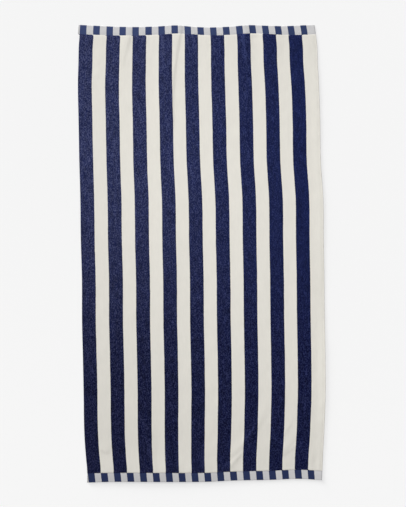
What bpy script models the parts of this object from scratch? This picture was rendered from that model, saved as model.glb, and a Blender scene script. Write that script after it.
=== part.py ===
"""Striped beach towel, laid out flat with its hem puckers and low folds.

The towel is one woven cloth, so it is one solid: a terry pile field with a thinner flat-woven hem turned
over and stitched at each short end, and a narrow stitched hem down each long side. +Y runs along the
towel to its top hem, +X across it, and +Z up from the surface that it lies on.
"""

from collections import namedtuple

import bpy
import numpy as np

# Cloth, in metres.
LENGTH = 1.719
TOP_HEM = 0.0325
BOTTOM_HEM = 0.034
PILE_RUN = LENGTH - TOP_HEM - BOTTOM_HEM
PILE_THICKNESS = 0.0030
HEM_THICKNESS = 0.0024
PILE_STEP = 0.0025
SIDE_HEM = 0.009
SIDE_HEM_THICKNESS = 0.0028
SIDE_HEM_STEP = 0.002
RIM_ROUNDING = 0.0008
RIM_SEGMENTS = 2
RIM_ANGLE = np.radians(50)

# The grid that the underside is worked out on, in metres. Its rows lie closer near the two ends, where most
# of the folds are.
COLUMN_SPACING = 0.021
FOLDED_STRETCH = 0.33
FOLDED_ROW_SPACING = 0.033
MIDDLE_ROW_SPACING = 0.066

# A share of a fold's run that stands for none.
TINY = 1e-6

# How the cloth lies. drift is how far the towel's middle line lies to the right of the Y axis, and half is
# half the width there: the hems draw the cloth in.
Lie = namedtuple("Lie", "y drift half")
LIE = (
    Lie(-0.860, 0.0098, 0.4408),
    Lie(-0.814, 0.0115, 0.4418),
    Lie(-0.776, 0.0103, 0.4442),
    Lie(-0.700, 0.0092, 0.4492),
    Lie(-0.625, 0.0094, 0.4521),
    Lie(-0.550, 0.0103, 0.4538),
    Lie(-0.400, 0.0088, 0.4552),
    Lie(-0.250, 0.0058, 0.4557),
    Lie(-0.100, 0.0050, 0.4552),
    Lie(0.050, 0.0018, 0.4560),
    Lie(0.200, 0.0003, 0.4563),
    Lie(0.350, -0.0068, 0.4533),
    Lie(0.500, -0.0093, 0.4535),
    Lie(0.650, -0.0131, 0.4522),
    Lie(0.725, -0.0140, 0.4492),
    Lie(0.785, -0.0141, 0.4478),
    Lie(0.822, -0.0147, 0.4446),
    Lie(0.824, -0.0147, 0.4446),
    Lie(0.828, -0.0190, 0.4463),
    Lie(0.830, -0.0190, 0.4463),
    Lie(0.860, -0.0195, 0.4427),
)

# The two short ends. y is where the cloth's end lies, and hem is how deep the turned hem is there.
End = namedtuple("End", "x y hem")
TOP_END = (
    End(-0.460, 0.8595, 0.0346),
    End(-0.396, 0.8560, 0.0341),
    End(-0.320, 0.8525, 0.0329),
    End(-0.248, 0.8513, 0.0316),
    End(-0.165, 0.8538, 0.0312),
    End(-0.085, 0.8570, 0.0304),
    End(-0.045, 0.8530, 0.0282),
    End(0.025, 0.8500, 0.0297),
    End(0.105, 0.8527, 0.0308),
    End(0.190, 0.8585, 0.0311),
    End(0.245, 0.8558, 0.0307),
    End(0.310, 0.8548, 0.0330),
    End(0.383, 0.8580, 0.0357),
    End(0.430, 0.8595, 0.0354),
)
BOTTOM_END = (
    End(-0.430, -0.8595, 0.0345),
    End(-0.368, -0.8573, 0.0340),
    End(-0.124, -0.8570, 0.0340),
    End(0.022, -0.8560, 0.0335),
    End(0.120, -0.8515, 0.0335),
    End(0.266, -0.8490, 0.0340),
    End(0.362, -0.8453, 0.0340),
    End(0.450, -0.8500, 0.0345),
)

# Folds. The crest runs from (x0, y0) to (x1, y1). Seen with that run going down the towel, its middle lies
# bow to the right of the line, and it falls away over left and right either side. It is height high, and
# rises and fades over those shares of its run, so one that rises over none of it starts at full height.
Fold = namedtuple("Fold", "name x0 y0 x1 y1 bow left right height rise fade")
FOLDS = (
    Fold("left_pucker", -0.258, 0.875, -0.312, 0.670, 0, 0.060, 0.013, 0.0015, 0, 0.5),
    Fold("long_crease", -0.070, 0.885, -0.111, 0.430, -0.017, 0.090, 0.010, 0.0020, 0, 0.15),
    Fold("middle_pucker", -0.048, 0.870, -0.022, 0.745, 0, 0.024, 0.024, 0.0014, 0, 1),
    Fold("right_pucker", 0.160, 0.890, 0.186, 0.630, -0.004, 0.040, 0.030, 0.0022, 0, 1),
    Fold("top_right_swell", 0.255, 0.900, 0.262, 0.560, 0, 0.055, 0.060, 0.0020, 0, 1),
    Fold("bottom_diagonal", 0.262, -0.520, 0.040, -0.805, 0.036, 0.030, 0.020, 0.0012, 0.5, 0.2),
    Fold("bottom_right_diagonal", 0.378, -0.655, 0.286, -0.770, 0, 0.034, 0.014, 0.0012, 0.7, 0.3),
    Fold("bottom_left_crease", -0.270, -0.520, -0.160, -0.830, 0.014, 0.036, 0.020, 0.0014, 0.7, 0.3),
    Fold("bottom_left_corner", -0.420, -0.705, -0.320, -0.760, 0, 0.024, 0.036, 0.0009, 0.5, 0.5),
    Fold("bottom_hem_lift", -0.660, -0.872, 0.300, -0.858, 0, 0.120, 0.150, 0.0050, 0.5, 0.5),
    Fold("half_way_rise", -0.130, 0.330, -0.095, -0.330, 0, 0.070, 0.070, 0.0012, 0.5, 0.5),
    Fold("right_half_rise", 0.205, 0.240, 0.245, -0.420, 0, 0.080, 0.080, 0.0012, 0.5, 0.5),
    Fold("left_edge_ripple", -0.475, 0.300, -0.470, -0.060, 0, 0.060, 0.060, 0.0020, 0.5, 0.5),
    Fold("right_edge_ripple", 0.478, -0.140, 0.476, -0.780, 0, 0.050, 0.050, 0.0036, 0.4, 0.4),
)


def through_rows(rows, column, place):
    """The smooth curve through a table's column, at each value in place.

    Cubic Hermite pieces join the rows. Each row's slope is that of the line between its neighbours.
    """
    knots = np.array([row[0] for row in rows])
    values = np.array([getattr(row, column) for row in rows])
    slopes = np.gradient(values, knots)
    place = np.clip(place, knots[0], knots[-1])
    i = np.clip(np.searchsorted(knots, place) - 1, 0, len(knots) - 2)
    span = knots[i + 1] - knots[i]
    f = (place - knots[i]) / span
    g = 1 - f
    ends = values[i] * g * g * (1 + 2 * f) + values[i + 1] * f * f * (1 + 2 * g)
    return ends + span * f * g * (slopes[i] * g - slopes[i + 1] * f)


def fold_height(x, y, fold):
    """How high one fold is at (x, y).

    Its crest is a straight run bent by bow times 4t(1 - t). Across the crest it is a squared cosine that
    reaches zero at left and right. Along it, squared sines take it up at its start and down at its end.
    """
    run = np.array((fold.x1 - fold.x0, fold.y1 - fold.y0))
    long = np.hypot(*run)
    run = run / long
    dx, dy = x - fold.x0, y - fold.y0
    t = np.clip((dx * run[0] + dy * run[1]) / long, 0, 1)
    off = dy * run[0] - dx * run[1] - fold.bow * 4 * t * (1 - t)
    share_off = np.clip(off / np.where(off < 0, fold.left, fold.right), -1, 1)
    across = np.cos(share_off * np.pi / 2) ** 2
    rise = np.sin(np.clip(t / max(fold.rise, TINY), 0, 1) * np.pi / 2) ** 2
    fade = np.sin(np.clip((1 - t) / max(fold.fade, TINY), 0, 1) * np.pi / 2) ** 2
    return fold.height * across * rise * fade


def fold_lift(x, y):
    """How high the folds lift the underside: the highest one at each point, so they don't pile up."""
    return np.max([fold_height(x, y, fold) for fold in FOLDS], axis=0)


def spaced(first, last, spacing):
    """Places from first to last, as near to spacing apart as divides the run evenly."""
    return np.linspace(first, last, round((last - first) / spacing) + 1)


def across_places():
    """Where the grid's columns lie across the cloth, as shares of its width."""
    width = 2 * max(row.half for row in LIE)
    field = SIDE_HEM + SIDE_HEM_STEP
    pile_columns = spaced(field, width - field, COLUMN_SPACING)
    return np.concatenate(((0, SIDE_HEM), pile_columns, (width - SIDE_HEM, width))) / width


def along_places():
    """Where the grid's rows lie along the cloth.

    They are counted 0 to 1 through the bottom hem, 1 to 2 over the pile and 2 to 3 through the top hem.
    """
    folded = spaced(PILE_STEP, FOLDED_STRETCH, FOLDED_ROW_SPACING)
    middle = spaced(FOLDED_STRETCH, PILE_RUN - FOLDED_STRETCH, MIDDLE_ROW_SPACING)
    pile_rows = np.concatenate((folded, middle[1:-1], PILE_RUN - folded[::-1])) / PILE_RUN
    return np.concatenate(((0, 1), 1 + pile_rows, (2, 3)))


def underside(across, along):
    """The points of the cloth's underside.

    Each line of the weave runs straight across between the two side lines, and its place along the towel
    is its share of the way between the two ends, or through a hem.
    """
    nominal = BOTTOM_HEM * np.minimum(along, 1) + PILE_RUN * np.clip(along - 1, 0, 1) - LENGTH / 2
    nominal += TOP_HEM * (along - 2).clip(0)
    x = through_rows(LIE, "drift", nominal) + through_rows(LIE, "half", nominal) * (2 * across - 1)
    bottom, bottom_hem = (through_rows(BOTTOM_END, name, x) for name in ("y", "hem"))
    top, top_hem = (through_rows(TOP_END, name, x) for name in ("y", "hem"))
    bottom_seam = bottom + bottom_hem
    top_seam = top - top_hem
    y = bottom_seam + (top_seam - bottom_seam) * np.clip(along - 1, 0, 1)
    y += top_hem * (along - 2).clip(0) - bottom_hem * (1 - along).clip(0)
    return np.stack((x, y, fold_lift(x, y)), axis=-1)


def centred(points):
    """The same points with the outline's middle on the Z axis."""
    corner = points.min(axis=0)
    middle = (corner + points.max(axis=0)) / 2
    middle[2] = 0
    return points - middle


def thickness_shares(across, along):
    """How thick the cloth is at each point, as a share of the pile's thickness: less in the hems."""
    width = 2 * max(row.half for row in LIE)
    from_side = width * np.minimum(across, 1 - across)
    side = np.where(from_side < SIDE_HEM + SIDE_HEM_STEP / 2, SIDE_HEM_THICKNESS, PILE_THICKNESS)
    in_end_hem = (along <= 1) | (along >= 2)
    return np.where(in_end_hem, HEM_THICKNESS, side) / PILE_THICKNESS


def cloth_material():
    """Dark blue pile cotton, dull all over."""
    material = bpy.data.materials.new("towel_cotton")
    material.use_nodes = True
    surface = material.node_tree.nodes["Principled BSDF"]
    surface.inputs["Base Color"].default_value = (0.045, 0.062, 0.17, 1)
    surface.inputs["Roughness"].default_value = 0.95
    surface.inputs["Metallic"].default_value = 0
    return material


def clear_scene():
    for thing in list(bpy.data.objects):
        bpy.data.objects.remove(thing)


def new_collection(name):
    collection = bpy.data.collections.new(name)
    bpy.context.scene.collection.children.link(collection)
    return collection


def towel_sheet(collection):
    """A grid shaped as the cloth's underside, ready to be given its thickness."""
    columns, rows = across_places(), along_places()
    bpy.ops.mesh.primitive_grid_add(x_subdivisions=len(columns) - 1, y_subdivisions=len(rows) - 1, size=2)
    towel = bpy.context.object
    towel.name = towel.data.name = "towel"
    for holder in list(towel.users_collection):
        holder.objects.unlink(towel)
    collection.objects.link(towel)

    flat = np.empty(3 * len(towel.data.vertices))
    towel.data.vertices.foreach_get("co", flat)
    place = (flat.reshape(-1, 3)[:, :2] + 1) / 2 * (len(columns) - 1, len(rows) - 1)
    column, row = np.rint(place).astype(int).T
    across, along = columns[column], rows[row]
    towel.data.vertices.foreach_set("co", centred(underside(across, along)).ravel())

    pile = towel.vertex_groups.new(name="pile")
    shares = thickness_shares(across, along)
    for share in np.unique(shares):
        pile.add(np.flatnonzero(shares == share).tolist(), float(share), "REPLACE")
    return towel


def thicken(towel):
    """Gives the sheet its thickness above the underside, then rounds its rim."""
    solidify = towel.modifiers.new("thickness", "SOLIDIFY")
    solidify.thickness = PILE_THICKNESS
    solidify.offset = 1
    solidify.vertex_group = "pile"
    solidify.thickness_vertex_group = 0
    bevel = towel.modifiers.new("rim", "BEVEL")
    bevel.width = RIM_ROUNDING
    bevel.segments = RIM_SEGMENTS
    bevel.limit_method = "ANGLE"
    bevel.angle_limit = RIM_ANGLE


def main():
    clear_scene()
    towel = towel_sheet(new_collection("beach_towel"))
    thicken(towel)
    towel.data.materials.append(cloth_material())


main()
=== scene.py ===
from collections import namedtuple

import bpy
import numpy as np
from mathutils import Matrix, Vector

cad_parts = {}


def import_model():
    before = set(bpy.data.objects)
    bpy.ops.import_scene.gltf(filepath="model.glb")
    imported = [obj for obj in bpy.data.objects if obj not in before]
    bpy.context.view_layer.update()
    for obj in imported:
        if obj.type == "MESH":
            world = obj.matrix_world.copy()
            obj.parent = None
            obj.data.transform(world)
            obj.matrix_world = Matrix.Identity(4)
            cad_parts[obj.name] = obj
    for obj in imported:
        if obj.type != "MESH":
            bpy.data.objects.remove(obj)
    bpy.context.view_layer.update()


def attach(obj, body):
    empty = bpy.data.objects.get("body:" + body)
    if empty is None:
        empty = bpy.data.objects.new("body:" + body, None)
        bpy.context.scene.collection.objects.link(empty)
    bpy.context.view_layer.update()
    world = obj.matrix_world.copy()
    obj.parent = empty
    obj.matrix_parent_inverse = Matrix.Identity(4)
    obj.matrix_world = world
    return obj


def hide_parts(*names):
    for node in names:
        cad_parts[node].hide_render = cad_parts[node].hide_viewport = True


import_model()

# Striped beach towel, seen from straight above. +Y runs along it to its top hem and +X across it to the
# right, in metres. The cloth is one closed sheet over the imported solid's folds, and the finer creases,
# furrows, rims and sewing are added here.

# Cloth.
WIDTH = 0.912
LENGTH = 1.719
TOP_HEM = 0.0325
BOTTOM_HEM = 0.034
PILE_RUN = LENGTH - TOP_HEM - BOTTOM_HEM
PILE_THICKNESS = 0.0030
HEM_THICKNESS = 0.0024
PILE_STEP = 0.0022
SIDE_HEM = 0.009
SIDE_HEM_THICKNESS = 0.0028
SIDE_HEM_STEP = 0.002

# A share of a fold's run that stands for none.
TINY = 1e-6

# Furrows. Each stitch line presses one into the cloth, and so does the edge of the pile.
END_STITCH_LINE = 0.0032
SIDE_STITCH_LINE = 0.0068
STITCH_FURROW = 0.00035
SIDE_STITCH_FURROW = 0.00015
SEAM_FURROW = 0.00025
FURROW_REACH = 0.0008

# Woven pattern. Nine stripe pairs start with navy at the left side. Navy's share of a pair goes from its top
# value to its bottom one over a run down the towel. Each hem has blocks half a stripe wide, which start a
# little way in from the left side and lean to the right on their way down.
STRIPE = 0.05043
LAST_STRIPE = 17
TOP_NAVY_SHARE = 0.515
BOTTOM_NAVY_SHARE = 0.516
NAVY_SHARE_RUN = (-0.1, 0.6)
LAST_BLOCK = 35
HemWeave = namedtuple("HemWeave", "middle start lean block")
TOP_WEAVE = HemWeave(middle=0.840, start=0.0061, lean=0.045, block=0.0249)
BOTTOM_WEAVE = HemWeave(middle=-0.840, start=0.0045, lean=0.150, block=0.02505)
TOP_NAVY_BLOCK = 0.500
BOTTOM_NAVY_BLOCK = 0.522
BLOCK_BLUR = 0.016

# Closed ends of a hem, in painted shade: how far in from the side they reach, how softly, and how much
# darker.
HEM_END = 0.0030
HEM_END_BLUR = 0.0012
HEM_END_PAINTED_SHADE = 0.26

# Grid. Distances in from the cloth's edge, or out from the seam between hem and pile, where rows or columns
# lie close, and how far apart the others are. Rows lie closer in a folded stretch of the pile, next to each
# hem, than in its middle.
RIM_PLACES = (0, 0.0002, 0.0007, 0.0014)
SIDE_PLACES = (0.0035, 0.0052, 0.0060, 0.0068, 0.0076, 0.0084, 0.0092, 0.0102, 0.0114)
SEAM_PLACES = (-0.0054, -0.0040, -0.0032, -0.0024, -0.0012, -0.0004, 0, 0.0006, 0.0014, 0.0024, 0.0045)
COLUMN_SPACING = 0.0044
HEM_ROW_SPACING = 0.0045
FOLDED_STRETCH = 0.33
FOLDED_ROW_SPACING = 0.006
MIDDLE_ROW_SPACING = 0.018

# How the cloth lies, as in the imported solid. drift is how far its middle line lies to the right of the Y
# axis, and half is half the width there.
Lie = namedtuple("Lie", "y drift half")
LIE = (
    Lie(-0.860, 0.0098, 0.4408),
    Lie(-0.814, 0.0115, 0.4418),
    Lie(-0.776, 0.0103, 0.4442),
    Lie(-0.700, 0.0092, 0.4492),
    Lie(-0.625, 0.0094, 0.4521),
    Lie(-0.550, 0.0103, 0.4538),
    Lie(-0.400, 0.0088, 0.4552),
    Lie(-0.250, 0.0058, 0.4557),
    Lie(-0.100, 0.0050, 0.4552),
    Lie(0.050, 0.0018, 0.4560),
    Lie(0.200, 0.0003, 0.4563),
    Lie(0.350, -0.0068, 0.4533),
    Lie(0.500, -0.0093, 0.4535),
    Lie(0.650, -0.0131, 0.4522),
    Lie(0.725, -0.0140, 0.4492),
    Lie(0.785, -0.0141, 0.4478),
    Lie(0.822, -0.0147, 0.4446),
    Lie(0.824, -0.0147, 0.4446),
    Lie(0.828, -0.0190, 0.4463),
    Lie(0.830, -0.0190, 0.4463),
    Lie(0.860, -0.0195, 0.4427),
)

# The two short ends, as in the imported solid: where the cloth's end lies, and how deep its hem is.
End = namedtuple("End", "x y hem")
TOP_END = (
    End(-0.460, 0.8595, 0.0346),
    End(-0.396, 0.8560, 0.0341),
    End(-0.320, 0.8525, 0.0329),
    End(-0.248, 0.8513, 0.0316),
    End(-0.165, 0.8538, 0.0312),
    End(-0.085, 0.8570, 0.0304),
    End(-0.045, 0.8530, 0.0282),
    End(0.025, 0.8500, 0.0297),
    End(0.105, 0.8527, 0.0308),
    End(0.190, 0.8585, 0.0311),
    End(0.245, 0.8558, 0.0307),
    End(0.310, 0.8548, 0.0330),
    End(0.383, 0.8580, 0.0357),
    End(0.430, 0.8595, 0.0354),
)
BOTTOM_END = (
    End(-0.430, -0.8595, 0.0345),
    End(-0.368, -0.8573, 0.0340),
    End(-0.124, -0.8570, 0.0340),
    End(0.022, -0.8560, 0.0335),
    End(0.120, -0.8515, 0.0335),
    End(0.266, -0.8490, 0.0340),
    End(0.362, -0.8453, 0.0340),
    End(0.450, -0.8500, 0.0345),
)

# How far the stripes are drawn to the right of an even spread, by the share of the way across the cloth:
# in the top hem, in the pile below it, a sixth of the way down, half way down, above the bottom hem, and in
# that hem.
Drawn = namedtuple("Drawn", "across top_hem top upper middle bottom bottom_hem")
DRAWN = (
    Drawn(0.00, 0.0000, 0.0000, 0.0000, 0.0000, 0.0000, 0.0000),
    Drawn(0.11, 0.0027, 0.0041, 0.0027, 0.0018, 0.0023, 0.0012),
    Drawn(0.22, 0.0029, 0.0044, 0.0036, 0.0026, 0.0024, 0.0014),
    Drawn(0.33, 0.0034, 0.0040, 0.0040, 0.0039, 0.0023, 0.0015),
    Drawn(0.44, 0.0045, 0.0025, 0.0020, 0.0036, 0.0018, 0.0011),
    Drawn(0.50, 0.0044, 0.0015, 0.0015, 0.0034, 0.0013, 0.0009),
    Drawn(0.61, 0.0032, 0.0017, 0.0018, 0.0035, -0.0012, 0.0010),
    Drawn(0.66, 0.0042, 0.0022, 0.0026, 0.0035, -0.0009, 0.0017),
    Drawn(0.77, 0.0051, -0.0003, 0.0028, 0.0027, -0.0007, 0.0024),
    Drawn(0.83, 0.0046, -0.0001, 0.0025, 0.0028, -0.0008, 0.0028),
    Drawn(0.885, 0.0042, -0.0013, 0.0020, 0.0016, -0.0016, 0.0026),
    Drawn(0.94, 0.0042, -0.0011, 0.0018, 0.0013, -0.0014, 0.0028),
    Drawn(1.00, 0.0000, 0.0000, 0.0000, 0.0000, 0.0000, 0.0000),
)

# How far up the towel the four places in the pile lie. The stripes stay as they are half way down until
# DRAWN_LOW, and are drawn as above the bottom hem from DRAWN_BOTTOM on.
DRAWN_TOP = 0.77
DRAWN_UPPER = 0.575
DRAWN_MIDDLE = 0.05
DRAWN_LOW = -0.66
DRAWN_BOTTOM = -0.81

# The share of the pile's run, next to a seam, in which the stripes bend over to the hem's blocks.
SEAM_SHARE = 0.0015

# Folds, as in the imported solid. The crest runs from (x0, y0) to (x1, y1). Seen with that run going down the
# towel, its middle lies bow to the right of the line, and it falls away over left and right either side.
# It is height high, and rises and fades over those shares of its run, so one that rises over none of it
# starts at full height.
Fold = namedtuple("Fold", "name x0 y0 x1 y1 bow left right height rise fade")
FOLDS = (
    Fold("left_pucker", -0.258, 0.875, -0.312, 0.670, 0, 0.060, 0.013, 0.0015, 0, 0.5),
    Fold("long_crease", -0.070, 0.885, -0.111, 0.430, -0.017, 0.090, 0.010, 0.0020, 0, 0.15),
    Fold("middle_pucker", -0.048, 0.870, -0.022, 0.745, 0, 0.024, 0.024, 0.0014, 0, 1),
    Fold("right_pucker", 0.160, 0.890, 0.186, 0.630, -0.004, 0.040, 0.030, 0.0022, 0, 1),
    Fold("top_right_swell", 0.255, 0.900, 0.262, 0.560, 0, 0.055, 0.060, 0.0020, 0, 1),
    Fold("bottom_diagonal", 0.262, -0.520, 0.040, -0.805, 0.036, 0.030, 0.020, 0.0012, 0.5, 0.2),
    Fold("bottom_right_diagonal", 0.378, -0.655, 0.286, -0.770, 0, 0.034, 0.014, 0.0012, 0.7, 0.3),
    Fold("bottom_left_crease", -0.270, -0.520, -0.160, -0.830, 0.014, 0.036, 0.020, 0.0014, 0.7, 0.3),
    Fold("bottom_left_corner", -0.420, -0.705, -0.320, -0.760, 0, 0.024, 0.036, 0.0009, 0.5, 0.5),
    Fold("bottom_hem_lift", -0.660, -0.872, 0.300, -0.858, 0, 0.120, 0.150, 0.0050, 0.5, 0.5),
    Fold("half_way_rise", -0.130, 0.330, -0.095, -0.330, 0, 0.070, 0.070, 0.0012, 0.5, 0.5),
    Fold("right_half_rise", 0.205, 0.240, 0.245, -0.420, 0, 0.080, 0.080, 0.0012, 0.5, 0.5),
    Fold("left_edge_ripple", -0.475, 0.300, -0.470, -0.060, 0, 0.060, 0.060, 0.0020, 0.5, 0.5),
    Fold("right_edge_ripple", 0.478, -0.140, 0.476, -0.780, 0, 0.050, 0.050, 0.0036, 0.4, 0.4),
)

# Finer creases on top of those folds, in the same columns. A height below zero is a trough. The last three
# lift the right side and the right half of the bottom hem.
CREASES = (
    Fold("left_pucker_near", -0.248, 0.822, -0.246, 0.765, 0, 0.007, 0.007, 0.0005, 0, 0.6),
    Fold("left_pucker_far", -0.222, 0.822, -0.225, 0.765, 0, 0.007, 0.007, 0.0005, 0, 0.6),
    Fold("seam_dimple", -0.193, 0.826, -0.193, 0.775, 0, 0.010, 0.006, -0.0008, 0, 0.7),
    Fold("fourth_stripe_line", -0.147, 0.830, -0.147, 0.685, 0, 0.008, 0.008, 0.0009, 0, 0.5),
    Fold("left_arc", -0.0567, 0.826, -0.0530, 0.763, 0, 0.008, 0.008, 0.0008, 0, 0.6),
    Fold("right_arc", -0.0380, 0.826, -0.0230, 0.767, 0, 0.008, 0.008, 0.0008, 0, 0.6),
    Fold("right_pucker_line", 0.154, 0.830, 0.177, 0.655, -0.002, 0.009, 0.012, 0.0010, 0, 0.5),
    Fold("seam_dent_left", 0.172, 0.810, 0.224, 0.810, 0, 0.010, 0.012, -0.0011, 0.5, 0.5),
    Fold("seam_dent_right", 0.285, 0.812, 0.327, 0.812, 0, 0.010, 0.010, -0.0006, 0.5, 0.5),
    Fold("side_press_line", -0.480, 0.667, -0.315, 0.645, 0, 0.007, 0.007, -0.0004, 0.5, 0.5),
    Fold("low_left_ridge", -0.402, -0.730, -0.330, -0.754, 0, 0.007, 0.012, 0.0006, 0.5, 0.5),
    Fold("low_left_fall", -0.215, -0.660, -0.170, -0.822, 0, 0.016, 0.010, 0.0012, 0.6, 0.2),
    Fold("low_middle_fall", 0.006, -0.690, 0.010, -0.830, 0, 0.020, 0.036, 0.0009, 0.5, 0.3),
    Fold("low_fourth_fall", -0.092, -0.700, -0.088, -0.835, 0, 0.020, 0.034, 0.0006, 0.6, 0.2),
    Fold("crease_end", -0.088, 0.405, -0.081, 0.325, 0, 0.010, 0.012, 0.0006, 0.5, 0.5),
    Fold("second_diagonal_start", -0.246, -0.590, -0.192, -0.672, 0, 0.009, 0.008, 0.0010, 0.4, 0.4),
    Fold("big_diagonal_start", 0.212, -0.630, 0.146, -0.720, 0.002, 0.010, 0.009, 0.0011, 0.5, 0.3),
    Fold("big_diagonal_foot", 0.108, -0.776, 0.062, -0.825, 0, 0.008, 0.007, 0.0006, 0.4, 0.2),
    Fold("big_diagonal_end", 0.168, -0.728, 0.086, -0.820, 0, 0.018, 0.010, 0.0010, 0.4, 0.2),
    Fold("right_diagonal_near", 0.352, -0.606, 0.298, -0.694, 0, 0.010, 0.008, 0.0006, 0.5, 0.5),
    Fold("right_diagonal_end", 0.366, -0.706, 0.300, -0.764, 0, 0.012, 0.008, 0.0007, 0.3, 0.3),
    Fold("last_stripe_line", 0.388, -0.500, 0.386, -0.630, 0, 0.009, 0.009, 0.0008, 0.5, 0.5),
    Fold("low_right_hollow", 0.428, -0.750, 0.430, -0.820, 0, 0.016, 0.016, -0.0010, 0.5, 0.5),
    Fold("upper_right_lift", 0.442, 0.800, 0.466, -0.160, 0, 0.045, 0.030, 0.0014, 0.15, 0.3),
    Fold("lower_right_lift", 0.464, -0.580, 0.456, -0.870, 0, 0.045, 0.030, 0.0013, 0.5, 0),
    Fold("low_hem_lift", -0.060, -0.866, 0.470, -0.856, 0, 0.050, 0.060, 0.0016, 0.35, 0),
)

# How high a crease is that parts the pile fully, which shows the pale ends of its navy.
PARTED = 0.0010

# Slight unevenness of the pile: smooth waves whose lengths lie between these, each as steep as this. They
# reach their full height this far from a seam.
UNEVEN_SEED = 7
UNEVEN_WAVES = 24
UNEVEN_SHORTEST = 0.014
UNEVEN_LONGEST = 0.090
UNEVEN_STEEPNESS = 0.0045
UNEVEN_START = 0.02

# Sewing thread. A stitch covers a share of its pitch and sways a little to the side. Its radius falls by the
# taper times the square of a ring's distance from its middle, as a share of its length. Side stitches keep
# a share of the pile's run clear of each seam.
THREAD_RADIUS = 0.00022
THREAD_TAPER = 1.6
END_STITCH_PITCH = 0.0030
SIDE_STITCH_PITCH = 0.0032
STITCH_SHARE = 0.74
STITCH_SWAY = 0.00010
SIDE_STITCH_CLEAR = 0.002
THREAD_RINGS = 4
THREAD_SIDES = 5

# Noise in the looks: the size of its lumps across the weave, along it and up, in metres, and its detail.
# The grain and the twist have theirs along x, y and z.
Lumps = namedtuple("Lumps", "size detail")
FIBRES = Lumps((0.0027, 0.0056, 1), 1.0)
TUFTS = Lumps((0.0046, 0.0280, 1), 2.0)
BRUSHING = Lumps((0.026, 0.040, 1), 1.0)
EDGE_RAGS = Lumps((0.0020, 0.0035, 1), 1.0)
EDGE_WAVES = Lumps((0.030, 0.060, 1), 1.0)
GRAIN = Lumps((0.0011, 0.0014, 0.0012), 2.0)
WARP = Lumps((0.0012, 0.0060, 1), 2.0)
PATCHES = Lumps((0.010, 0.010, 1), 1.0)
TWIST = Lumps((0.0004, 0.0004, 0.0004), 1.0)

# How much brighter a noise makes the cloth as it goes from 0 to 1.
NAVY_TUFTS = 1.2
NAVY_BRUSHING = 0.6
CREAM_TUFTS = 0.07
CREAM_BRUSHING = 0.04
HEM_NAVY_WARP = 0.30
HEM_NAVY_PATCHES = 0.12
HEM_GREY_WARP = 0.05
THREAD_TWIST = 0.3

# How far a stripe's edge strays by its rags and by its waves, and half the width that it is blurred over.
EDGE_RAGGED = 0.0016
EDGE_WANDER = 0.0014
EDGE_BLUR = 0.0008

# Colours, as linear red, green, blue and alpha. A navy goes from its left colours to its right ones over a
# run of x, and from its low colours to its top ones over a run of y. That change is painted light: a painted
# sheen at the upper left and painted shade toward the right and low down.
Navy = namedtuple("Navy", "top_left top_right low_left low_right")
PILE_NAVY = Navy(
    top_left=(0.0340, 0.0412, 0.1080, 1),
    top_right=(0.0091, 0.0153, 0.0725, 1),
    low_left=(0.0109, 0.0135, 0.0460, 1),
    low_right=(0.0092, 0.0126, 0.0520, 1),
)
HEM_NAVY = Navy(
    top_left=(0.0424, 0.0630, 0.1640, 1),
    top_right=(0.0284, 0.0465, 0.1280, 1),
    low_left=(0.0178, 0.0296, 0.0940, 1),
    low_right=(0.0178, 0.0296, 0.0940, 1),
)
NAVY_RUN_X = (-0.45, 0.55)
NAVY_RUN_Y = (-0.62, 0.38)
CREAM = (0.818, 0.793, 0.728)
HEM_GREY = (0.598, 0.594, 0.602)
# The top hem's navy thread is lighter and the bottom's darker: painted light and shade, as on the hems' navy.
TOP_THREAD_PAINTED_LIGHT = (0.036, 0.056, 0.142, 1)
BOTTOM_THREAD_PAINTED_SHADE = (0.020, 0.033, 0.100, 1)
PALE_THREAD = (0.58, 0.57, 0.58, 1)
CREAM_THREAD = (0.78, 0.755, 0.70, 1)
NAVY_THREAD = (0.020, 0.026, 0.075, 1)

# Heather of the navy pile. Its fibres are tinted from their dark roots to their pale ends as their noise goes
# through TIPS, which a parted pile lifts. Over rising creases the navy is also brighter, a painted highlight
# on their crests. The heather goes from its upper tints to its low ones over this run down the towel, and is
# calmer by a share at the upper right, from this run of x on.
Heather = namedtuple("Heather", "roots ends")
UPPER_HEATHER = Heather(roots=(0.40, 0.46, 0.66, 1), ends=(2.08, 1.96, 1.60, 1))
LOW_HEATHER = Heather(roots=(0.26, 0.33, 0.59, 1), ends=(2.56, 2.38, 1.82, 1))
TIPS = (0.42, 0.68)
PARTED_TIPS = 0.10
PARTED_PAINTED_HIGHLIGHT = 0.15
LOW_RUN = (0.0, 0.45)
CALM_RUN = (0.05, 0.40)
CALM_SHARE = 0.38

# Flat weave of the hems: half the pitch of its crosswise ribs and its lengthwise cords, and how much of the
# relief is the ribs'. Its pale blocks are lighter, as painted light, by a share at the top, and by one at the
# right over a run of x. What differs between the hems changes over a run half way up the towel, where no hem
# lies.
RIB = 0.0006
CORD = 0.0005
RIB_RELIEF = 0.6
PAINTED_LIGHT_TOP = 0.08
PAINTED_LIGHT_RIGHT = 0.06
PAINTED_LIGHT_RUN = (-0.1, 0.5)
BETWEEN_HEMS = (-0.1, 0.1)

# Camera, straight above. The photo is 507 pixels high, and one of its pixels is 3.755 mm on the floor.
PIXEL = 0.003755
IMAGE_HEIGHT = 507
SENSOR = 0.036
LENS = 0.085
CAMERA_AIM = (0.0049, 0.0007)

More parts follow.
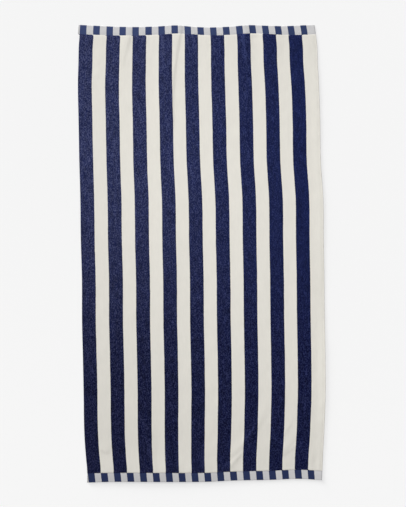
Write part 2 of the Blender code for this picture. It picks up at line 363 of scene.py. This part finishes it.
# Light. A share is the brightness that a source gives a flat white surface right under it.
KEY_SHARE = 0.10
KEY_ELEVATION = np.radians(23)
KEY_SOFTNESS = np.radians(28)
RAKING_SHARE = 0.14
RAKING_ELEVATION = np.radians(10)
RAKING_SOFTNESS = np.radians(17)
LIGHT_RUN = (0.64, -0.77)
WORLD_SHARE = 0.34
BACKDROP_SHARE = 0.92
Lamp = namedtuple("Lamp", "name x y height share radius")
LAMPS = (
    Lamp("upper_lamp", -0.12, 0.50, 1.66, 0.384, 0.45),
    Lamp("low_right_lamp", 0.39, -0.46, 0.70, 0.069, 0.25),
)

# Floor, and how bright it looks all over.
FLOOR_SIZE = 14
FLOOR_GAP = 0.0003
FLOOR_ALBEDO = 0.60
FLOOR_LEVEL = 0.926


def through_rows(rows, column, place):
    """The smooth curve through a table's column, at each value in place.

    Cubic Hermite pieces join the rows. Each row's slope is that of the line between its neighbours.
    """
    knots = np.array([row[0] for row in rows])
    values = np.array([getattr(row, column) for row in rows])
    slopes = np.gradient(values, knots)
    place = np.clip(place, knots[0], knots[-1])
    i = np.clip(np.searchsorted(knots, place) - 1, 0, len(knots) - 2)
    span = knots[i + 1] - knots[i]
    f = (place - knots[i]) / span
    g = 1 - f
    ends = values[i] * g * g * (1 + 2 * f) + values[i + 1] * f * f * (1 + 2 * g)
    return ends + span * f * g * (slopes[i] * g - slopes[i + 1] * f)


def smooth(x, low, high):
    """0 below low, 1 above high, and a smooth S of 3s squared less 2s cubed between."""
    s = np.clip((x - low) / (high - low), 0, 1)
    return s * s * (3 - 2 * s)


def bell(x, reach):
    """1 at x = 0, falling off either side as e to the power of minus (x / reach) squared."""
    return np.exp(-((x / reach) ** 2))


def fold_height(x, y, fold):
    """How high one fold is at (x, y).

    Its crest is a straight run bent by bow times 4t(1 - t). Across the crest it is a squared cosine that
    reaches zero at left and right. Along it, squared sines take it up at its start and down at its end.
    """
    run = np.array((fold.x1 - fold.x0, fold.y1 - fold.y0))
    long = np.hypot(*run)
    run = run / long
    dx, dy = x - fold.x0, y - fold.y0
    t = np.clip((dx * run[0] + dy * run[1]) / long, 0, 1)
    off = dy * run[0] - dx * run[1] - fold.bow * 4 * t * (1 - t)
    share_off = np.clip(off / np.where(off < 0, fold.left, fold.right), -1, 1)
    across = np.cos(share_off * np.pi / 2) ** 2
    rise = np.sin(np.clip(t / max(fold.rise, TINY), 0, 1) * np.pi / 2) ** 2
    fade = np.sin(np.clip((1 - t) / max(fold.fade, TINY), 0, 1) * np.pi / 2) ** 2
    return fold.height * across * rise * fade


def fold_lift(x, y):
    """How high the cloth is lifted: the highest fold at each point, with every crease added to it."""
    lift = np.max([fold_height(x, y, fold) for fold in FOLDS], axis=0)
    return lift + np.sum([fold_height(x, y, crease) for crease in CREASES], axis=0)


def parting(x, y):
    """How far the pile parts over a ridge: the creases that rise, added up, as a share of PARTED."""
    rising = [fold_height(x, y, crease) for crease in CREASES if crease.height > 0]
    return np.sum(rising, axis=0) / PARTED


def unevenness(x, y):
    """A sum of plane waves of seeded direction, length and phase, each as high as its length allows."""
    random = np.random.default_rng(UNEVEN_SEED)
    turn = random.uniform(0, np.pi, UNEVEN_WAVES)
    length = random.uniform(UNEVEN_SHORTEST, UNEVEN_LONGEST, UNEVEN_WAVES)
    phase = random.uniform(0, 2 * np.pi, UNEVEN_WAVES)
    number = 2 * np.pi / length
    total = np.zeros_like(x)
    for wave in range(UNEVEN_WAVES):
        run = x * np.cos(turn[wave]) + y * np.sin(turn[wave])
        total += np.sin(run * number[wave] + phase[wave]) * UNEVEN_STEEPNESS / number[wave]
    return total


def from_seams(along):
    """How far each row lies above the bottom seam and below the top one, in metres, or below zero in a hem.

    Along counts 0 to 1 through the bottom hem, 1 to 2 over the pile and 2 to 3 through the top hem.
    """
    above_bottom = (along - 1) * np.where(along < 1, BOTTOM_HEM, PILE_RUN)
    below_top = (2 - along) * np.where(along > 2, TOP_HEM, PILE_RUN)
    return above_bottom, below_top


def into_pile(along):
    """How far each row lies from the nearer seam, in metres: above zero in the pile, below it in a hem."""
    return np.minimum(*from_seams(along))


def from_side(across):
    """How far each column lies from the nearer side, in metres."""
    return WIDTH * np.minimum(across, 1 - across)


def from_edge(across, along):
    """How far each point lies from the nearest of the cloth's four edges, in metres."""
    above_bottom, below_top = from_seams(along)
    return np.minimum(from_side(across), np.minimum(above_bottom + BOTTOM_HEM, below_top + TOP_HEM))


def drawn_right(across, along, nominal):
    """How far a line of the weave is drawn to the right.

    The four places down the pile are blended over the runs between them, and each hem takes over from the
    pile in the last of it.
    """
    places = (through_rows(DRAWN, name, across) for name in DRAWN[0]._fields[1:])
    top_hem, top, upper, middle, bottom, bottom_hem = places
    drawn = middle + (upper - middle) * smooth(nominal, DRAWN_MIDDLE, DRAWN_UPPER)
    drawn = drawn + (top - upper) * smooth(nominal, DRAWN_UPPER, DRAWN_TOP)
    drawn = drawn + (bottom - middle) * smooth(-nominal, -DRAWN_LOW, -DRAWN_BOTTOM)
    drawn = drawn + (top_hem - drawn) * smooth(along, 2 - SEAM_SHARE, 2)
    return drawn + (bottom_hem - drawn) * smooth(-along, -1 - SEAM_SHARE, -1)


def lay_out(across, along):
    """Where each point of the weave lies on the floor, as x, y and its nominal place along the towel.

    A line of the weave runs straight across between the two side lines. Its place along the towel is its
    share of the way between the two seams, or through a hem.
    """
    nominal = BOTTOM_HEM * np.minimum(along, 1) + PILE_RUN * np.clip(along - 1, 0, 1) - LENGTH / 2
    nominal = nominal + TOP_HEM * (along - 2).clip(0)
    x = through_rows(LIE, "drift", nominal) + through_rows(LIE, "half", nominal) * (2 * across - 1)
    x = x + drawn_right(across, along, nominal)
    bottom, bottom_hem = (through_rows(BOTTOM_END, name, x) for name in ("y", "hem"))
    top, top_hem = (through_rows(TOP_END, name, x) for name in ("y", "hem"))
    bottom_seam = bottom + bottom_hem
    top_seam = top - top_hem
    y = bottom_seam + (top_seam - bottom_seam) * np.clip(along - 1, 0, 1)
    y = y + top_hem * (along - 2).clip(0) - bottom_hem * (1 - along).clip(0)
    return x, y, nominal


def cloth_thickness(across, along):
    """How thick the cloth is before its rim is rounded.

    Smooth steps join the thin end hems, the pressed side hems and the pile. Each stitch line and each seam
    takes off a bell-shaped furrow.
    """
    seam = into_pile(along)
    side = from_side(across)
    in_pile = smooth(seam, 0, PILE_STEP)
    in_field = smooth(side, SIDE_HEM, SIDE_HEM + SIDE_HEM_STEP)
    body = SIDE_HEM_THICKNESS + (PILE_THICKNESS - SIDE_HEM_THICKNESS) * in_field
    thick = HEM_THICKNESS + (body - HEM_THICKNESS) * in_pile
    thick = thick - STITCH_FURROW * bell(seam + END_STITCH_LINE, FURROW_REACH)
    thick = thick - SEAM_FURROW * bell(seam, FURROW_REACH)
    return thick - SIDE_STITCH_FURROW * in_pile * bell(side - SIDE_STITCH_LINE, FURROW_REACH)


def cloth_surfaces(across, along):
    """The points of the cloth's top and underside, before the outline is centred.

    The underside lies on the folds, never below the floor. The top is the thickness above it, plus the
    pile's unevenness. Near the edge both curve to the middle as a half circle, so that they meet there.
    """
    x, y, _ = lay_out(across, along)
    lift = fold_lift(x, y)
    thick = cloth_thickness(across, along)
    rough = unevenness(x, y) * smooth(into_pile(along), 0, UNEVEN_START)
    under = np.maximum(lift, 0)
    top = lift + thick + rough
    half = (top - under) / 2
    rim = np.clip(1 - from_edge(across, along) / (HEM_THICKNESS / 2), 0, 1)
    half_here = half * np.sqrt(1 - rim**2)
    middle = under + half
    return np.stack((x, y, middle + half_here), -1), np.stack((x, y, middle - half_here), -1)


def across_places():
    """Where the grid's columns lie, as shares of the width."""
    side = np.array(RIM_PLACES + SIDE_PLACES)
    count = round((WIDTH - 2 * side[-1]) / COLUMN_SPACING) + 1
    field = np.linspace(side[-1], WIDTH - side[-1], count)[1:-1]
    return np.concatenate((side, field, WIDTH - side[::-1])) / WIDTH


def hem_places(depth):
    """Where the rows lie in one hem, as shares of its depth from the cloth's end to the seam."""
    seam = depth + np.array([place for place in SEAM_PLACES if place < 0])
    plain = np.arange(RIM_PLACES[-1] + HEM_ROW_SPACING / 2, seam[0] - HEM_ROW_SPACING / 2, HEM_ROW_SPACING)
    return np.concatenate((RIM_PLACES, plain, seam)) / depth


def along_places():
    """Where the grid's rows lie, counted 0 to 1, 1 to 2 and 2 to 3 as in from_seams."""
    near = np.array([place for place in SEAM_PLACES if place >= 0])
    folded_count = round((FOLDED_STRETCH - near[-1]) / FOLDED_ROW_SPACING) + 1
    folded = np.linspace(near[-1], FOLDED_STRETCH, folded_count)[1:]
    middle_count = round((PILE_RUN - 2 * FOLDED_STRETCH) / MIDDLE_ROW_SPACING) + 1
    middle = np.linspace(FOLDED_STRETCH, PILE_RUN - FOLDED_STRETCH, middle_count)[1:-1]
    end = np.concatenate((near, folded))
    pile = 1 + np.concatenate((end, middle, PILE_RUN - end[::-1])) / PILE_RUN
    return np.concatenate((hem_places(BOTTOM_HEM), pile, 3 - hem_places(TOP_HEM)[::-1]))


def outline_middle():
    """The middle of the cloth's outline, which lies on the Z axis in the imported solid."""
    across, along = np.meshgrid(across_places(), along_places())
    x, y, _ = lay_out(across, along)
    return np.array(((x.min() + x.max()) / 2, (y.min() + y.max()) / 2, 0))


MIDDLE = outline_middle()


def weave_places(across, along):
    """Each point's place in the weave: metres across it, metres along it, and hem blocks across it.

    The hem's blocks start in from the left side, and lean by a share of the way down from the hem's middle.
    """
    _, y, nominal = lay_out(across, along)
    u = across * WIDTH
    at_top = nominal > 0
    middle, start, lean, block = (
        np.where(at_top, getattr(TOP_WEAVE, name), getattr(BOTTOM_WEAVE, name)) for name in TOP_WEAVE._fields
    )
    return np.stack((u, nominal, (u - start - lean * (middle - y)) / block), -1)


def mesh_object(name, points, faces, materials, face_materials=None):
    """A smooth-shaded mesh object at the origin, from arrays of points and a list of faces."""
    mesh = bpy.data.meshes.new(name)
    mesh.from_pydata(points.reshape(-1, 3).tolist(), [], faces)
    for material in materials:
        mesh.materials.append(material)
    if face_materials is not None:
        mesh.polygons.foreach_set("material_index", face_materials)
    mesh.shade_smooth()
    mesh.update()
    made = bpy.data.objects.new(name, mesh)
    bpy.context.scene.collection.objects.link(made)
    return made


def add_vectors(made, name, vectors):
    """Gives each point of the mesh a named vector, which its material reads."""
    attribute = made.data.attributes.new(name, "FLOAT_VECTOR", "POINT")
    attribute.data.foreach_set("vector", vectors.astype(np.float32).ravel())


def towel_cloth(pile, flat_weave):
    """The cloth as one closed sheet: a grid for its top and one for its underside, which share their rims.

    A point is (share across, place along) on both grids. The underside's inner points are numbered after
    all of the top's, and its rim takes the top's numbers. The pile parts on the top alone.
    """
    across, along = np.meshgrid(across_places(), along_places())
    rows, columns = across.shape
    top, under = cloth_surfaces(across, along)
    weave = weave_places(across, along)
    top_number = np.arange(rows * columns).reshape(rows, columns)
    under_number = top_number.copy()
    inner = (rows - 2) * (columns - 2)
    under_number[1:-1, 1:-1] = rows * columns + np.arange(inner).reshape(rows - 2, columns - 2)

    def quads(number):
        return np.stack((number[:-1, :-1], number[:-1, 1:], number[1:, 1:], number[1:, :-1]), -1)

    faces = np.concatenate((quads(top_number).reshape(-1, 4), quads(under_number)[..., ::-1].reshape(-1, 4)))
    middle_along = (along[:-1, :-1] + along[1:, :-1]) / 2
    in_hem = ((middle_along < 1) | (middle_along > 2)).astype(np.int32).ravel()
    points = np.concatenate((top.reshape(-1, 3), under[1:-1, 1:-1].reshape(-1, 3))) - MIDDLE
    cloth = mesh_object("towel_cloth", points, faces.tolist(), (pile, flat_weave), np.tile(in_hem, 2))
    both = np.concatenate((weave.reshape(-1, 3), weave[1:-1, 1:-1].reshape(-1, 3)))
    add_vectors(cloth, "weave", both)
    parted = np.zeros_like(both)
    parted[: rows * columns, 0] = parting(top[..., 0], top[..., 1]).ravel()
    add_vectors(cloth, "parting", parted)
    return cloth


def stitches(name, across, along, thread, seed):
    """A row of stitches, each a short closed thread that bows up out of the furrow between two needle holes.

    Stitch i's point at ring s and side k is its middle, plus the ring's place along the stitch, plus a
    small circle that narrows toward both ends, raised by a half cosine wave.
    """
    random = np.random.default_rng(seed)
    top, _ = cloth_surfaces(across, along)
    holes = top - MIDDLE
    start, end = holes[:-1], holes[1:]
    middle = (start + end) / 2
    run = (end - start) * STITCH_SHARE
    count = len(middle)
    side = np.stack((-run[:, 1], run[:, 0], np.zeros(count)), -1)
    side = side / np.linalg.norm(side, axis=1, keepdims=True)
    middle = middle + side * random.normal(0, STITCH_SWAY, (count, 1))
    run = run + side * random.normal(0, 2 * STITCH_SWAY, (count, 1))
    ring = np.linspace(-0.5, 0.5, THREAD_RINGS)[None, :, None, None]
    turn = np.arange(THREAD_SIDES) * 2 * np.pi / THREAD_SIDES
    turn = turn[None, None, :, None]
    radius = THREAD_RADIUS * (1 - THREAD_TAPER * ring**2)
    up = np.array((0, 0, 1.0))
    bow = THREAD_RADIUS * np.cos(ring * np.pi)
    points = middle[:, None, None] + ring * run[:, None, None]
    points = points + radius * (np.cos(turn) * side[:, None, None] + np.sin(turn) * up) + bow * up

    number = np.arange(count * THREAD_RINGS * THREAD_SIDES).reshape(count, THREAD_RINGS, THREAD_SIDES)
    after = np.roll(number, -1, axis=2)
    walls = np.stack((number[:, :-1], after[:, :-1], after[:, 1:], number[:, 1:]), -1)[..., ::-1]
    faces = walls.reshape(-1, 4).tolist() + number[:, 0].tolist() + number[:, -1, ::-1].tolist()
    sewn = mesh_object(name, points, faces, (thread,))
    weave = weave_places(across, along)
    add_vectors(sewn, "weave", np.repeat((weave[:-1] + weave[1:]) / 2, THREAD_RINGS * THREAD_SIDES, axis=0))
    return sewn


def end_stitches(name, seam, outward, thread, seed):
    """Stitches along one end hem. seam is 1 or 2, and outward is the sign of along toward the cloth's end."""
    depth = BOTTOM_HEM if seam == 1 else TOP_HEM
    count = round((WIDTH - SIDE_HEM) / END_STITCH_PITCH)
    across = np.linspace(SIDE_HEM / 2, WIDTH - SIDE_HEM / 2, count) / WIDTH
    return stitches(name, across, np.full(count, seam + outward * END_STITCH_LINE / depth), thread, seed)


def side_stitches(name, across, thread, seed):
    """Stitches down one side hem, from one end hem to the other."""
    count = round(PILE_RUN / SIDE_STITCH_PITCH)
    along = np.linspace(1 + SIDE_STITCH_CLEAR, 2 - SIDE_STITCH_CLEAR, count)
    return stitches(name, np.full(count, across), along, thread, seed)


class Wire:
    """A number that varies over a surface. Arithmetic on it adds Math nodes to its finish."""

    def __init__(self, finish, socket):
        self.finish = finish
        self.socket = socket

    def __add__(self, other):
        return self.finish.maths("ADD", self, other)

    def __radd__(self, other):
        return self.finish.maths("ADD", other, self)

    def __sub__(self, other):
        return self.finish.maths("SUBTRACT", self, other)

    def __rsub__(self, other):
        return self.finish.maths("SUBTRACT", other, self)

    def __mul__(self, other):
        return self.finish.maths("MULTIPLY", self, other)

    def __rmul__(self, other):
        return self.finish.maths("MULTIPLY", other, self)

    def __truediv__(self, other):
        return self.finish.maths("DIVIDE", self, other)

    def __pow__(self, other):
        return self.finish.maths("POWER", self, other)


class Finish:
    """A material being made: its nodes, and the Principled shader that they feed."""

    def __init__(self, name, **plain):
        self.material = bpy.data.materials.new(name)
        self.material.use_nodes = True
        self.tree = self.material.node_tree
        self.shader = self.tree.nodes["Principled BSDF"]
        for socket, value in plain.items():
            self.shader.inputs[socket.replace("_", " ")].default_value = value

    def node(self, kind, settings=None, sockets=None, output=0):
        """Adds a node of that kind. Its settings are set first, then its sockets get values or links."""
        made = self.tree.nodes.new(kind)
        for name, value in (settings or {}).items():
            setattr(made, name, value)
        for name, value in (sockets or {}).items():
            self.feed(made.inputs[name], value)
        return Wire(self, made.outputs[output])

    def feed(self, socket, value):
        """Links a socket to a wire, or gives it a plain value."""
        if isinstance(value, Wire):
            self.tree.links.new(value.socket, socket)
        else:
            socket.default_value = value

    def maths(self, operation, *values):
        """A Math node over numbers or wires."""
        return self.node("ShaderNodeMath", {"operation": operation}, dict(enumerate(values)))

    def between(self, value, low, high):
        """A smooth step from 0 where the value is low to 1 where it is high."""
        sockets = {"Value": value, "From Min": low, "From Max": high}
        return self.node("ShaderNodeMapRange", {"interpolation_type": "SMOOTHSTEP"}, sockets)

    def mix(self, factor, first, second):
        """The first colour where the factor is 0, the second where it is 1."""
        sockets = {0: factor, 6: first, 7: second}
        return self.node("ShaderNodeMix", {"data_type": "RGBA"}, sockets, output=2)

    def brighten(self, colour, factor):
        """The colour times a number."""
        return self.node("ShaderNodeVectorMath", {"operation": "SCALE"}, {0: colour, "Scale": factor})

    def tint(self, colour, filter_colour):
        """The two colours multiplied together."""
        return self.node("ShaderNodeVectorMath", {"operation": "MULTIPLY"}, {0: colour, 1: filter_colour})

    def split(self, vector):
        """The three numbers of a vector."""
        apart = self.node("ShaderNodeSeparateXYZ", sockets={0: vector})
        outputs = apart.socket.node.outputs
        return [Wire(self, outputs[axis]) for axis in "XYZ"]

    def noise(self, place, lumps):
        """Smooth noise, about 0.5 on average, in lumps of that size and detail."""
        spread = self.node("ShaderNodeVectorMath", {"operation": "DIVIDE"}, {0: place, 1: lumps.size})
        sockets = {"Vector": spread, "Scale": 1.0, "Detail": lumps.detail}
        return self.node("ShaderNodeTexNoise", sockets=sockets)

    def attribute(self, name):
        """One of the mesh's named vectors."""
        return self.node("ShaderNodeAttribute", {"attribute_name": name}, output="Vector")

    def place(self):
        """Object coordinates, which are the part's own."""
        return self.node("ShaderNodeTexCoord", output="Object")

    def dent(self, height, depth, strength):
        """A bump of the height field, 0 to 1, over that depth in metres."""
        sockets = {"Height": height, "Distance": depth, "Strength": strength}
        self.feed(self.shader.inputs["Normal"], self.node("ShaderNodeBump", sockets=sockets))

    def coloured(self, colour):
        """The finished material, in that colour."""
        self.feed(self.shader.inputs["Base Color"], colour)
        return self.material


def swing(noise, amount):
    """A noise made to go either side of 0, over that amount in all."""
    return (noise - 0.5) * amount


def painted_light_navy(finish, place, navy):
    """Navy with painted sheen and shade: it goes from lighter at the upper left to bluer at the right and
    darker low down.
    """
    x, y, _ = finish.split(place)
    right = finish.between(x, *NAVY_RUN_X)
    up = finish.between(y, *NAVY_RUN_Y)
    low_navy = finish.mix(right, navy.low_left, navy.low_right)
    return finish.mix(up, low_navy, finish.mix(right, navy.top_left, navy.top_right))


def in_cream_stripe(finish, weave, across, down):
    """1 in the cream stripes of the pile and 0 in its navy ones, with soft, slightly wandering edges."""
    share = TOP_NAVY_SHARE + (BOTTOM_NAVY_SHARE - TOP_NAVY_SHARE) * finish.between(down, *NAVY_SHARE_RUN)
    from_first = finish.maths("MINIMUM", across, (LAST_STRIPE + 0.5) * STRIPE) - STRIPE / 2
    from_navy = finish.maths("PINGPONG", from_first, STRIPE)
    ragged = swing(finish.noise(weave, EDGE_RAGS), EDGE_RAGGED)
    wander = swing(finish.noise(weave, EDGE_WAVES), EDGE_WANDER)
    return finish.between(from_navy - share * STRIPE + ragged + wander, -EDGE_BLUR, EDGE_BLUR)


def heather(finish, weave, place, down, parted):
    """What the navy pile is tinted by: dark where its roots show and pale where the ends of its fibres do."""
    x, _, _ = finish.split(place)
    low = finish.between(down, *LOW_RUN)
    tips = finish.between(finish.noise(weave, FIBRES) + parted * PARTED_TIPS, *TIPS)
    roots = finish.mix(low, UPPER_HEATHER.roots, LOW_HEATHER.roots)
    ends = finish.mix(low, UPPER_HEATHER.ends, LOW_HEATHER.ends)
    calm = finish.between(x, *CALM_RUN) * CALM_SHARE * (1 - low)
    return finish.mix(calm, finish.mix(tips, roots, ends), (1, 1, 1, 1))


def pile_finish():
    """Cut pile in wide stripes: heathered navy and smooth cream."""
    finish = Finish("pile_cotton", Roughness=0.95, Sheen_Weight=0.03, Specular_IOR_Level=0.05)
    weave, place = finish.attribute("weave"), finish.place()
    u, v, _ = finish.split(weave)
    down = 0 - v
    parted, _, _ = finish.split(finish.attribute("parting"))
    tufts = finish.noise(weave, TUFTS)
    brushing = finish.noise(weave, BRUSHING)

    heathered = heather(finish, weave, place, down, parted)
    # Rising creases brighten the navy: pale fibre ends of a parted pile, and a painted highlight on the
    # crests.
    navy_lit = 1 + swing(tufts, NAVY_TUFTS) + swing(brushing, NAVY_BRUSHING) + parted * PARTED_PAINTED_HIGHLIGHT
    # The navy's change over the towel is painted sheen and painted shade.
    navy = finish.brighten(finish.tint(painted_light_navy(finish, place, PILE_NAVY), heathered), navy_lit)
    cream = finish.brighten(CREAM, 1 + swing(tufts, CREAM_TUFTS) + swing(brushing, CREAM_BRUSHING))
    finish.dent(finish.noise(place, GRAIN), depth=0.0006, strength=0.35)
    return finish.coloured(finish.mix(in_cream_stripe(finish, weave, u, down), navy, cream))


def in_pale_block(finish, along, block):
    """1 in a hem's pale blocks and 0 in its navy ones, with a short smooth step between."""
    from_first = finish.maths("MINIMUM", block, LAST_BLOCK + 0.5) - 0.5
    from_navy = finish.maths("PINGPONG", from_first, 1.0)
    at_top = finish.between(along, *BETWEEN_HEMS)
    navy_half = BOTTOM_NAVY_BLOCK + (TOP_NAVY_BLOCK - BOTTOM_NAVY_BLOCK) * at_top
    return finish.between(from_navy - navy_half, -BLOCK_BLUR, BLOCK_BLUR)


def flat_weave_finish():
    """Flat weave without pile, in blocks of navy and pale grey, with fine ribs and cords.

    Its pale blocks get painted light at the top and at the right, and its closed ends painted shade.
    """
    finish = Finish("flat_weave_cotton", Roughness=0.85, Sheen_Weight=0.05, Specular_IOR_Level=0.2)
    weave, place = finish.attribute("weave"), finish.place()
    u, v, block = finish.split(weave)
    x, y, _ = finish.split(place)
    warp = finish.noise(weave, WARP)
    patches = finish.noise(weave, PATCHES)

    navy_lit = 1 + swing(warp, HEM_NAVY_WARP) + swing(patches, HEM_NAVY_PATCHES)
    navy = finish.brighten(painted_light_navy(finish, place, HEM_NAVY), navy_lit)
    # The pale blocks are lighter at the top hem and toward the right: painted light.
    painted_top_light = finish.between(y, *BETWEEN_HEMS) * PAINTED_LIGHT_TOP
    painted_right_light = finish.between(x, *PAINTED_LIGHT_RUN) * PAINTED_LIGHT_RIGHT
    painted_light_share = finish.maths("MAXIMUM", painted_top_light, painted_right_light)
    side = finish.maths("MINIMUM", u, WIDTH - u)
    inside = finish.between(side, HEM_END - HEM_END_BLUR, HEM_END + HEM_END_BLUR)
    # The hem's closed ends are darkened: painted shade.
    grey_lit = 1 + painted_light_share + swing(warp, HEM_GREY_WARP) - (1 - inside) * HEM_END_PAINTED_SHADE
    grey = finish.brighten(HEM_GREY, grey_lit)
    ribs = finish.maths("PINGPONG", v, RIB) / RIB
    cords = finish.maths("PINGPONG", u, CORD) / CORD
    finish.dent(ribs * RIB_RELIEF + cords * (1 - RIB_RELIEF), depth=0.0002, strength=0.5)
    return finish.coloured(finish.mix(in_pale_block(finish, v, block), navy, grey))


def thread_finish(name, navy, pale):
    """Twisted sewing thread: navy over a hem's navy blocks and pale over its pale ones."""
    finish = Finish(name, Roughness=0.8, Specular_IOR_Level=0.2)
    _, v, block = finish.split(finish.attribute("weave"))
    twist = finish.noise(finish.place(), TWIST)
    finish.dent(twist, depth=0.0001, strength=0.5)
    colour = finish.mix(in_pale_block(finish, v, block), navy, pale)
    return finish.coloured(finish.brighten(colour, 1 + swing(twist, THREAD_TWIST)))


def floor_finish():
    """Pale floor that is evenly bright: its glow makes up for what each lamp loses away from its foot.

    A lamp gives its share times (1 + (r / height) squared) to the power -1.5 at a distance r from its foot.
    """
    finish = Finish("floor_white", Roughness=1.0, Specular_IOR_Level=0.0, Emission_Strength=1.0)
    x, y, _ = finish.split(finish.place())
    light = KEY_SHARE + RAKING_SHARE + WORLD_SHARE
    for lamp in LAMPS:
        apart = ((x - lamp.x) ** 2 + (y - lamp.y) ** 2) / lamp.height**2
        light = light + lamp.share * (1 + apart) ** -1.5
    glow = finish.brighten((1, 1, 1), FLOOR_LEVEL - light * FLOOR_ALBEDO)
    finish.feed(finish.shader.inputs["Emission Color"], glow)
    return finish.coloured((FLOOR_ALBEDO, FLOOR_ALBEDO, FLOOR_ALBEDO, 1))


def floor():
    """A square floor, a hair below the towel's underside."""
    half = FLOOR_SIZE / 2
    corners = np.array(((-half, -half, 0), (half, -half, 0), (half, half, 0), (-half, half, 0)))
    made = mesh_object("floor", corners - (0, 0, FLOOR_GAP), [(0, 1, 2, 3)], (floor_finish(),))


def sun(name, share, elevation, softness):
    """Far light from the upper left, as bright as that share on a flat white surface.

    Its strength is its share times pi over the sine of its elevation.
    """
    light = bpy.data.lights.new(name, "SUN")
    light.energy = share * np.pi / np.sin(elevation)
    light.angle = softness
    made = bpy.data.objects.new(name, light)
    travel = Vector((*LIGHT_RUN, 0)).normalized() * np.cos(elevation) - Vector((0, 0, np.sin(elevation)))
    made.rotation_euler = travel.to_track_quat("-Z", "Y").to_euler()
    bpy.context.scene.collection.objects.link(made)


def round_lamp(lamp):
    """Soft round lamp over the towel, out of the camera's sight.

    Its watts are its share times 4 pi squared times its height squared.
    """
    light = bpy.data.lights.new(lamp.name, "POINT")
    light.energy = lamp.share * 4 * np.pi**2 * lamp.height**2
    light.shadow_soft_size = lamp.radius
    made = bpy.data.objects.new(lamp.name, light)
    made.location = (lamp.x, lamp.y, lamp.height)
    made.visible_camera = False
    bpy.context.scene.collection.objects.link(made)


def world():
    """Even light from all round, before a plain backdrop as pale as the floor."""
    made = bpy.data.worlds.new("studio")
    made.use_nodes = True
    tree = made.node_tree
    background = tree.nodes["Background"]
    background.inputs["Color"].default_value = (1, 1, 1, 1)
    seen = tree.nodes.new("ShaderNodeLightPath").outputs["Is Camera Ray"]
    strength = tree.nodes.new("ShaderNodeMapRange")
    strength.inputs["To Min"].default_value = WORLD_SHARE
    strength.inputs["To Max"].default_value = BACKDROP_SHARE
    tree.links.new(seen, strength.inputs["Value"])
    tree.links.new(strength.outputs["Result"], background.inputs["Strength"])
    bpy.context.scene.world = made


def camera():
    """A lens straight above, as high as gives the photo's scale on the top of the pile."""
    lens = bpy.data.cameras.new("camera")
    lens.lens = LENS * 1000
    lens.sensor_width = SENSOR * 1000
    made = bpy.data.objects.new("camera", lens)
    height = IMAGE_HEIGHT * PIXEL * LENS / SENSOR + PILE_THICKNESS
    made.location = (*CAMERA_AIM, height)
    bpy.context.scene.collection.objects.link(made)
    bpy.context.scene.camera = made


def declare(cloth, sewing):
    """Hides the imported towel, and attaches the cloth and the sewing to the root body."""
    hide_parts("towel")
    for piece in (cloth, *sewing):
        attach(piece, "root")


cloth = towel_cloth(pile_finish(), flat_weave_finish())
top_thread = thread_finish("thread_top_hem", TOP_THREAD_PAINTED_LIGHT, PALE_THREAD)
bottom_thread = thread_finish("thread_bottom_hem", BOTTOM_THREAD_PAINTED_SHADE, PALE_THREAD)
cream_thread = thread_finish("thread_cream", CREAM_THREAD, CREAM_THREAD)
navy_thread = thread_finish("thread_navy", NAVY_THREAD, NAVY_THREAD)
sewing = [
    end_stitches("top_hem_stitches", 2, 1, top_thread, seed=11),
    end_stitches("bottom_hem_stitches", 1, -1, bottom_thread, seed=12),
    side_stitches("left_side_stitches", SIDE_STITCH_LINE / WIDTH, navy_thread, seed=13),
    side_stitches("right_side_stitches", 1 - SIDE_STITCH_LINE / WIDTH, cream_thread, seed=14),
]
declare(cloth, sewing)
floor()
sun("key", KEY_SHARE, KEY_ELEVATION, KEY_SOFTNESS)
sun("raking", RAKING_SHARE, RAKING_ELEVATION, RAKING_SOFTNESS)
for lamp in LAMPS:
    round_lamp(lamp)
world()
camera()
bpy.context.scene.view_settings.view_transform = "Standard"
